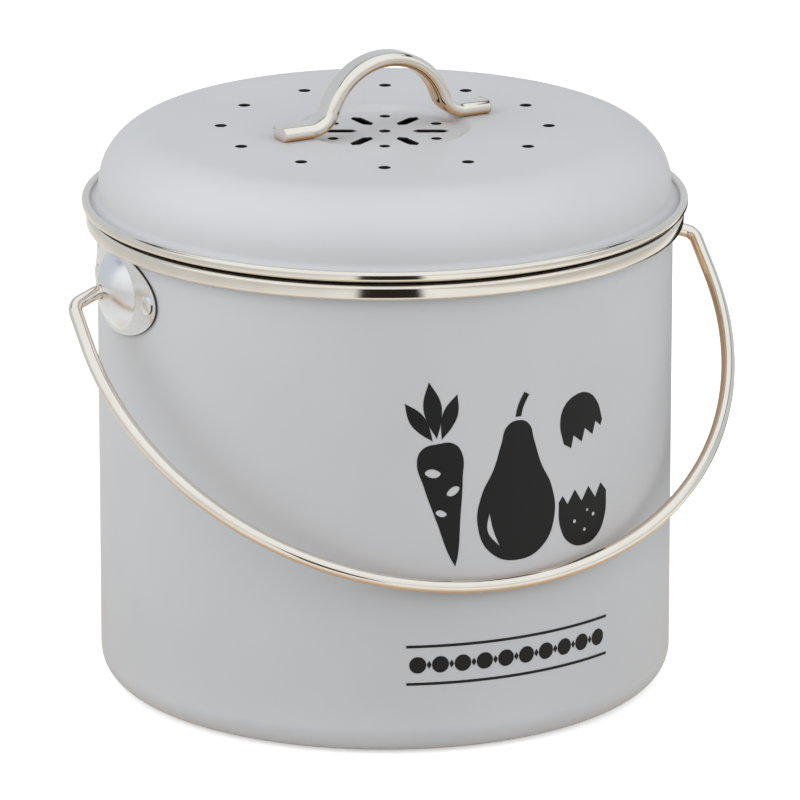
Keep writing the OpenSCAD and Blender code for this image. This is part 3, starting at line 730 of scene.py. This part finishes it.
def trim_side(inset):
    """Outer side of the folded band, this far inside its surface."""
    lift = TRIM_H / 2 - EDGE_R
    lean = math.degrees(math.asin(lift / (FACE_R - EDGE_R)))
    edge_x = TRIM_R - FACE_R + (FACE_R - EDGE_R) * math.cos(math.radians(lean))
    return (arc(edge_x, TRIM_Z + lift, EDGE_R - inset, 90, lean, 10)
            + arc(TRIM_R - FACE_R, TRIM_Z, FACE_R - inset, lean, -lean, 8)[1:]
            + arc(edge_x, TRIM_Z - lift, EDGE_R - inset, -lean, -90, 10)[1:])


top, low = TRIM_Z + TRIM_H / 2, TRIM_Z - TRIM_H / 2
outline = ([(TRIM_IN, top)] + trim_side(0) + [(LIP_IN, low), (LIP_IN, low + TRIM_T)]
           + trim_side(TRIM_T)[::-1] + [(TRIM_IN, top - TRIM_T)])
trim = lathe("folded_rim_trim", outline)
join_up(trim, bright_band, "pail", "pail_rim_trim")

# %% Lid bead
BEAD_IN, BEAD_OUT, BEAD_LOW, BEAD_TOP = 104.9, 107.8, 173.9, 177.5
BEAD_T, ROUND = 0.45, 1.35
mid, slit = (BEAD_LOW + BEAD_TOP) / 2, 0.35


def bead_side(inset):
    """The rolled outline, from its inner edge under, round and over."""
    r, a, b = ROUND - inset, BEAD_IN + ROUND, BEAD_OUT - ROUND
    c, d = BEAD_LOW + ROUND, BEAD_TOP - ROUND
    return (arc(a, c, r, 180, 270, 8) + arc(b, c, r, 270, 360, 8)
            + arc(b, d, r, 0, 90, 8) + arc(a, d, r, 90, 180, 8))


outline = ([(BEAD_IN, mid - slit)] + bead_side(0)
           + [(BEAD_IN, mid + slit), (BEAD_IN + BEAD_T, mid + slit)]
           + bead_side(BEAD_T)[::-1] + [(BEAD_IN + BEAD_T, mid - slit)])
bead = lathe("rolled_lid_bead", outline)
join_up(bead, bright_band, "lid", "lid_bead")

# %% [markdown]
# ## Wire bail
# The bail is one length of round wire. Its ends are upset to small heads inside the
# ears, pass straight through the holes, kink outwards and turn down into the big bow.
# A ring of points is pushed along half of that path, flat on the ground, then the
# half is mirrored, and the whole is leaned forward until it rests on the wall. A curve
# with a round bevel would be quicker, but it couldn't have the heads.

# %% Bail: its measures
WIRE_R, HEAD_X, KINK_X, KINK, KINK_R = 2.45, 105.375, 109.25, 23, 6.5
BAIL_HALF, CORNER_R, REACH, REST = 120.7, 4.8, 139.04, 49.2
SHOULDER_EASE, BOW_EASE, HEAD_R, HEAD_T = 4.6, 12.5, 3.9, 1.6
shoulder_r = BAIL_HALF - SHOULDER_EASE
bow_r = shoulder_r + BOW_EASE
bow_angle = math.degrees(math.asin(SHOULDER_EASE / BOW_EASE))
leg_end = REACH - bow_r + BOW_EASE * math.cos(math.radians(bow_angle))
sine, cosine = math.sin(math.radians(KINK)), math.cos(math.radians(KINK))
slope = (BAIL_HALF - CORNER_R * (1 - sine)) - (KINK_X + KINK_R * sine)
drop = slope * sine / cosine
corner_y = KINK_R * (1 - cosine) + drop + CORNER_R * cosine
print("radii of shoulder and bow in mm:", shoulder_r, bow_r)

# %% Bail: push half of the wire along
SIDES = 32
bpy.ops.object.select_all(action="DESELECT")
bpy.ops.mesh.primitive_circle_add(vertices=SIDES, radius=HEAD_R * MM,
                                  rotation=(0, math.pi / 2, 0), location=(HEAD_X * MM, 0, 0))
bail = bpy.context.active_object
bail.name = "wire_bail"
bpy.ops.object.transform_apply(location=True, rotation=True, scale=True)
bpy.ops.object.mode_set(mode="EDIT")
bpy.ops.mesh.select_all(action="SELECT")
push(HEAD_T, 0, 0)
push(0, 0, 0)
thin = WIRE_R / HEAD_R
bpy.ops.transform.resize(value=(1, thin, thin),
                         center_override=((HEAD_X + HEAD_T) * MM, 0, 0))
push(KINK_X - HEAD_X - HEAD_T, 0, 0)
bend((KINK_X, -KINK_R, 0), (0, 0, -1), KINK, 6)
push(slope, -drop, 0)
bend((BAIL_HALF - CORNER_R, -corner_y, 0), (0, 0, -1), 90 - KINK, 14)
push(0, corner_y - leg_end, 0)
bend((SHOULDER_EASE, -leg_end, 0), (0, 0, -1), 90 - bow_angle, 44)
bend((0, bow_r - REACH, 0), (0, 0, -1), bow_angle, 14)
bpy.ops.object.mode_set(mode="OBJECT")
end = [v.co.x / MM for v in bail.data.vertices if v.co.y < -(REACH - 3) * MM]
print("wire ends at x in mm:", round(min(end), 3))

# %% Mirror, close and lean the bail
for vert in bail.data.vertices:
    vert.select = vert.index < SIDES
bpy.ops.object.mode_set(mode="EDIT")
bpy.ops.mesh.edge_face_add()
bpy.ops.object.mode_set(mode="OBJECT")
twin = bail.modifiers.new("twin", "MIRROR")
twin.use_axis = (True, False, False)
twin.merge_threshold = 0.02 * MM
bpy.ops.object.modifier_apply(modifier="twin")
bail.rotation_euler = (math.radians(90 - REST), 0, 0)
bail.location = (0, 0, PIVOT_Z * MM)
bpy.ops.object.transform_apply(location=True, rotation=True, scale=True)
bpy.ops.object.mode_set(mode="EDIT")
clean_up(bail, 40)
join_up(bail, bright_wire, "bail", "bail_handle")

# %% [markdown]
# ## Lid handle
# The handle is a flat bar with well rounded edges, bent into an arch with two feet
# that are screwed on from below. Its section starts as a plane whose corners are
# bevelled, and it is pushed from one foot over the arch to the other. The cut ends
# get a small chamfer, as the real ones have.

# %% Lid handle: push the bar along
BAR_T, BAR_W, BAR_EDGE, ARCH_R, FOOT_R, HANDLE_H = 5, 10, 2.3, 24, 9, 27.2
LEFT_END, RIGHT_END, LID_TURN = 43.0, 41.2, 6.2
arch_z = HANDLE_H - BAR_T / 2 - ARCH_R
bend_z = BAR_T / 2 + FOOT_R
bend_x = math.sqrt((ARCH_R + FOOT_R) ** 2 - (bend_z - arch_z) ** 2)
lean = math.degrees(math.asin((bend_z - arch_z) / (ARCH_R + FOOT_R)))
bpy.ops.object.select_all(action="DESELECT")
bpy.ops.mesh.primitive_plane_add(size=1, rotation=(0, math.pi / 2, 0),
                                 location=(-LEFT_END * MM, 0, BAR_T / 2 * MM))
handle = bpy.context.active_object
handle.name = "arched_lid_handle"
handle.scale = (BAR_T * MM, BAR_W * MM, 1)
bpy.ops.object.transform_apply(location=True, rotation=True, scale=True)
bpy.ops.object.mode_set(mode="EDIT")
bpy.ops.mesh.select_all(action="SELECT")
bpy.ops.mesh.bevel(offset=BAR_EDGE * MM, segments=8, affect="VERTICES")
bpy.ops.mesh.delete(type="ONLY_FACE")
bpy.ops.mesh.select_all(action="SELECT")
push(LEFT_END - bend_x, 0, 0)
bend((-bend_x, 0, bend_z), (0, -1, 0), 90 - lean, 12)
bend((0, 0, arch_z), (0, 1, 0), 180 - 2 * lean, 48)
bend((bend_x, 0, bend_z), (0, -1, 0), 90 - lean, 12)
push(RIGHT_END - bend_x, 0, 0)
bpy.ops.object.mode_set(mode="OBJECT")
print("handle top in mm:", round(max(v.co.z for v in handle.data.vertices) / MM, 2))

# %% Close and chamfer the feet
CHAMFER = 0.7
for sign, end_x in ((-1, LEFT_END), (1, RIGHT_END)):
    for vert in handle.data.vertices:
        vert.select = sign * vert.co.x > (end_x - 0.05) * MM
    bpy.ops.object.mode_set(mode="EDIT")
    bpy.ops.mesh.select_mode(type="VERT")
    bpy.ops.mesh.edge_face_add()
    bpy.ops.mesh.bevel(offset=CHAMFER * MM, segments=2, affect="EDGES")
    bpy.ops.mesh.select_all(action="DESELECT")
    bpy.ops.object.mode_set(mode="OBJECT")
handle.rotation_euler = (0, 0, math.radians(LID_TURN))
handle.location = (0, 0, LID_TOP * MM)
bpy.ops.object.transform_apply(location=True, rotation=True, scale=True)
bpy.ops.object.mode_set(mode="EDIT")
clean_up(handle, 30)
join_up(handle, bright_bar, "lid", "lid_handle")

# %% [markdown]
# ## Ears
# Each ear is an oval plate of aluminium with a dome pressed into it, which gives the
# bail's head its room. It is drawn flat as rings that grow from the hole outwards,
# rising and falling as the press tool does, then bent round the wall and thickened.

# %% Ear outline
EAR_OUT, EAR_TOP, DOME_H, DOME_S, FILLET = 103.55, 166.4, 6.0, 14.5, 1.0
PLATE_W, PLATE_H, OVAL, HOLE_R, DOME_IN = 28, 15, 1.1, 2.55, 2.9
ball = (DOME_S**2 + DOME_H**2) / (2 * DOME_H)
slant = math.asin(DOME_S / ball)
tangent = FILLET * math.tan(slant / 2)


def dome_height(s):
    """Height of the pressed dome at this distance from its middle, in mm."""
    return math.sqrt(ball**2 - s**2) - ball + DOME_H


def oval(s):
    """Half axes of a dome ring: round at the hole, wider than high at its foot."""
    part = (s / DOME_S) ** 2
    return s + OVAL * part, s - OVAL * part


foot = DOME_S - tangent * math.cos(slant)
# half axes and height: the hole's turned-in edge, the dome, its fillet, the flat plate
rings = [(HOLE_R, HOLE_R, dome_height(HOLE_R) - 0.45), (2.62, 2.62, dome_height(2.6) - 0.15)]
rings += [(*oval(s), dome_height(s)) for s in
          [DOME_IN + (foot - DOME_IN) * i / 12 for i in range(13)]]
for i in range(1, 6):
    turn = slant * (1 - i / 5)
    s = DOME_S + tangent - FILLET * math.sin(turn)
    rings.append((*oval(s), FILLET * (1 - math.cos(turn))))
wide, high, _ = rings[-1]
rings += [(wide + (PLATE_W - wide) * i / 5, high + (PLATE_H - high) * i / 5, 0)
          for i in range(1, 6)]
print("rings in an ear:", len(rings))

# %% Ears: draw the rings flat
bpy.ops.object.select_all(action="DESELECT")
bpy.ops.mesh.primitive_circle_add(vertices=96, radius=rings[0][0] * MM,
                                  location=(0, 0, rings[0][2] * MM))
ear = bpy.context.active_object
ear.name = "pressed_right_ear"
bpy.ops.object.transform_apply(location=True, rotation=True, scale=True)
bpy.ops.object.mode_set(mode="EDIT")
bpy.ops.mesh.select_all(action="SELECT")
for (a0, b0, h0), (a1, b1, h1) in zip(rings, rings[1:]):
    push(0, 0, h1 - h0)
    bpy.ops.transform.resize(value=(a1 / a0, b1 / b0, 1), center_override=(0, 0, 0))
bpy.ops.mesh.select_all(action="SELECT")
bpy.ops.mesh.bisect(plane_co=(0, (EAR_TOP - PIVOT_Z) * MM, 0), plane_no=(0, 1, 0),
                    clear_outer=True)
bpy.ops.object.mode_set(mode="OBJECT")
print("faces in the flat ear:", len(ear.data.polygons))

# %% Ears: bend round the wall and thicken
# bend: across becomes Y along the wall, up becomes Z, height stands out along X
for vert in ear.data.vertices:
    u, v, h = vert.co
    vert.co = (math.sqrt((EAR_OUT * MM) ** 2 - u * u) + h, u, v + PIVOT_Z * MM)
bpy.ops.object.mode_set(mode="EDIT")
bpy.ops.mesh.select_all(action="SELECT")
bpy.ops.mesh.normals_make_consistent(inside=False)
bpy.ops.object.mode_set(mode="OBJECT")
if sum(f.normal.x for f in ear.data.polygons) < 0:
    ear.data.flip_normals()
sheet = ear.modifiers.new("sheet", "SOLIDIFY")
sheet.thickness, sheet.offset, sheet.use_even_offset = 1.0 * MM, -1, True
bpy.ops.object.modifier_apply(modifier="sheet")
soft = ear.modifiers.new("soft", "BEVEL")
soft.width, soft.segments, soft.limit_method = 0.25 * MM, 2, "ANGLE"
soft.angle_limit = math.radians(55)
bpy.ops.object.modifier_apply(modifier="soft")
bpy.ops.object.shade_smooth_by_angle(angle=math.radians(40))
print("faces in an ear:", len(ear.data.polygons))

# %% Ears: painted shade on the rim, and the left ear
# faces that look up, down or sideways at the plate's outline or at its straight top
# take painted shade, the dark line where the plate meets the wall
rim = [f for f in ear.data.polygons if abs(f.normal.x) < 0.6
       and ((f.center.y / MM / (PLATE_W - 0.5)) ** 2
            + ((f.center.z / MM - PIVOT_Z) / (PLATE_H - 0.5)) ** 2 > 1
            or f.center.z > (EAR_TOP - 0.3) * MM)]
for face_of_rim in rim:
    face_of_rim.material_index = 1
left = bpy.data.objects.new("pressed_left_ear", ear.data.copy())
bpy.context.scene.collection.objects.link(left)
left.rotation_euler = (0, 0, math.pi)
only(left)
bpy.ops.object.transform_apply(location=True, rotation=True, scale=True)
join_up(ear, bright_aluminium, "pail", "right_ear", shade_on_edges)
join_up(left, bright_aluminium, "pail", "left_ear", shade_on_edges)

# %% [markdown]
# ## Printed decoration
# The front carries a one-colour print: kitchen scraps in a row, with a border of dots
# under them. It could be painted into the wall's material, but a shape shows sharp at
# any size. Each shape is a filled flat curve. The curves become a mesh, which is cut
# every 2 mm so that it can follow the wall, and then gets the thickness of ink.


# %% Helpers for the print
def put(points, at, turn=0.0, size=1.0):
    """Turn, scale and move a list of (x, y) or (x, y, "corner") points."""
    c, s = math.cos(math.radians(turn)), math.sin(math.radians(turn))
    return [(at[0] + size * (p[0] * c - p[1] * s), at[1] + size * (p[0] * s + p[1] * c),
             *p[2:]) for p in points]


def both(points):
    """A list of points on the right and their mirror images, as one loop."""
    return points + [(-p[0], *p[1:]) for p in points[::-1] if abs(p[0]) > 0.01]


def dot(x, y, r):
    """A round spot of eight points."""
    return [(x + r * math.cos(a * math.pi / 4), y + r * math.sin(a * math.pi / 4))
            for a in range(8)]


print("points in a dot:", len(dot(0, 0, 1)))

# %% Carrot, pear and eggshell
# points in mm about each shape's own middle
carrot = both([(0, 18.3), (5.5, 17.4), (8, 13.5), (7, 4), (4.2, -10), (1.5, -23),
               (0, -27, "corner")])
carrot_marks = [[(-5.7, 8), (-0.6, 7.1), (-0.8, 8.2), (-5.6, 9.2)],
                [(5.2, 0.4), (0.8, -0.8), (1, 0.4), (5.1, 1.6)],
                [(-3.9, -7), (-0.5, -7.8), (-0.7, -6.8), (-3.9, -5.8)]]
plume = both([(0, 20.2, "corner"), (2.6, 27), (3.1, 33), (0, 41, "corner")])
pear = both([(0, 25), (3.8, 23.5), (6, 17.5), (8.6, 9.5), (12.8, 1), (14, -9),
             (9.5, -18.5), (0, -22)])
pear_shine = [(-10, -5, "corner"), (-10.6, -11), (-6.4, -16.6, "corner"), (-8.6, -11)]
pear_stem = [(-1, 26.2, "corner"), (0, 30), (2.2, 34.2, "corner"), (4.1, 33.2, "corner"),
             (2, 29.4), (1.1, 26.2, "corner")]
shell = [(-13.4, 1.5, "corner"), (-12.6, -9), (-8, -16.4), (0, -19), (8, -16.4), (12.6, -9),
         (13.4, 1.5, "corner"), (9.8, 5.5, "corner"), (6.6, 0, "corner"), (2.6, 5.5, "corner"),
         (-1.2, 0, "corner"), (-5, 5.5, "corner"), (-8.8, 0, "corner"), (-11.4, 4, "corner")]
shell_specks = [dot(-5, -8, 0.8), dot(0.5, -12.5, 0.7), dot(5.5, -7, 0.8), dot(2, -4.5, 0.6)]
print("points in carrot, pear and shell:", len(carrot), len(pear), len(shell))

# %% Arrange the shapes
# millimetres to the right of the front's middle, and up from the ground
carrot_at, pear_at, shell_at, cap_at = (-21.5, 96), (5.5, 93), (34, 86), (33.5, 112)
LEAN, PEAR_SIZE, SHELL_SIZE, CAP_TURN, CAP_SIZE = 8, 1.08, 0.86, 197, 0.72
figures = [put(carrot, carrot_at, LEAN), put(pear, pear_at, 0, PEAR_SIZE),
           put(pear_stem, pear_at, 0, PEAR_SIZE), put(shell, shell_at, 0, SHELL_SIZE),
           put(shell, cap_at, CAP_TURN, CAP_SIZE)]
figures += [put(mark, carrot_at, LEAN) for mark in carrot_marks]
figures += [put(plume, carrot_at, LEAN)]
# the outer leaves fan out from the foot of the middle one
LEAF_FOOT, FAN, FAN_SIZE = 20.2, 27, 0.82
for way in (-1, 1):
    leaf = [(x, y - LEAF_FOOT, *k) for x, y, *k in plume]
    leaf = put(leaf, (1.6 * way, LEAF_FOOT - 0.6), -FAN * way, FAN_SIZE)
    figures.append(put(leaf, carrot_at, LEAN))
figures += [put(pear_shine, pear_at, 0, PEAR_SIZE)]
figures += [put(speck, shell_at, 0, SHELL_SIZE) for speck in shell_specks]
print("outlines of scraps:", len(figures))

# %% Border of dots and diamonds between two lines
DOTS, DOT_STEP, DOT_Z, FIRST_DOT, HALF_STEP = 10, 8.05, 33.9, -31, 4.02
DIAMOND = [(0, 1.5), (0.9, 0), (0, -1.5), (-0.9, 0)]
LINE_LEFT, LINE_RIGHT, LINE_T = -35, 46, 1
for low_line in (26.5, 40.2):
    figures.append([(LINE_LEFT, low_line, "corner"), (LINE_RIGHT, low_line, "corner"),
                    (LINE_RIGHT, low_line + LINE_T, "corner"),
                    (LINE_LEFT, low_line + LINE_T, "corner")])
for i in range(DOTS):
    x = FIRST_DOT + i * DOT_STEP
    figures.append(dot(x, DOT_Z, 3.0))
    if i < DOTS - 1:
        figures.append([(x + HALF_STEP + a, DOT_Z + b, "corner") for a, b in DIAMOND])
print("outlines in the print:", len(figures))

# %% Fill the shapes and cut them into strips
drawing = bpy.data.curves.new("printed_scraps", "CURVE")
drawing.dimensions, drawing.fill_mode, drawing.resolution_u = "2D", "BOTH", 8
for figure in figures:
    line = drawing.splines.new("BEZIER")
    line.bezier_points.add(len(figure) - 1)
    line.use_cyclic_u = True
    for knot, point in zip(line.bezier_points, figure):
        knot.co = (point[0] * MM, point[1] * MM, 0)
        knot.handle_left_type = knot.handle_right_type = "VECTOR" if len(point) > 2 else "AUTO"
print_piece = bpy.data.objects.new("printed_scraps", drawing)
bpy.context.scene.collection.objects.link(print_piece)
only(print_piece)
bpy.ops.object.convert(target="MESH")
bpy.ops.object.mode_set(mode="EDIT")
for step in range(-40, 52, 2):
    bpy.ops.mesh.select_all(action="SELECT")
    bpy.ops.mesh.bisect(plane_co=(step * MM, 0, 0), plane_no=(1, 0, 0))
bpy.ops.object.mode_set(mode="OBJECT")
print("flat faces in the print:", len(print_piece.data.polygons))

# %% Print on the wall
# the film starts a hair outside the wall, so that the two don't flicker
WALL_R, FILM, CLEAR = 102.5, 0.05, 0.02
out_r = (WALL_R + CLEAR) * MM
for vert in print_piece.data.vertices:
    u, v, _ = vert.co
    turn = u / (WALL_R * MM)
    vert.co = (out_r * math.sin(turn), -out_r * math.cos(turn), v)
if sum(f.normal.y for f in print_piece.data.polygons) > 0:
    print_piece.data.flip_normals()
film = print_piece.modifiers.new("film", "SOLIDIFY")
film.thickness, film.offset = FILM * MM, 1
bpy.ops.object.modifier_apply(modifier="film")
join_up(print_piece, printed_ink, "pail")
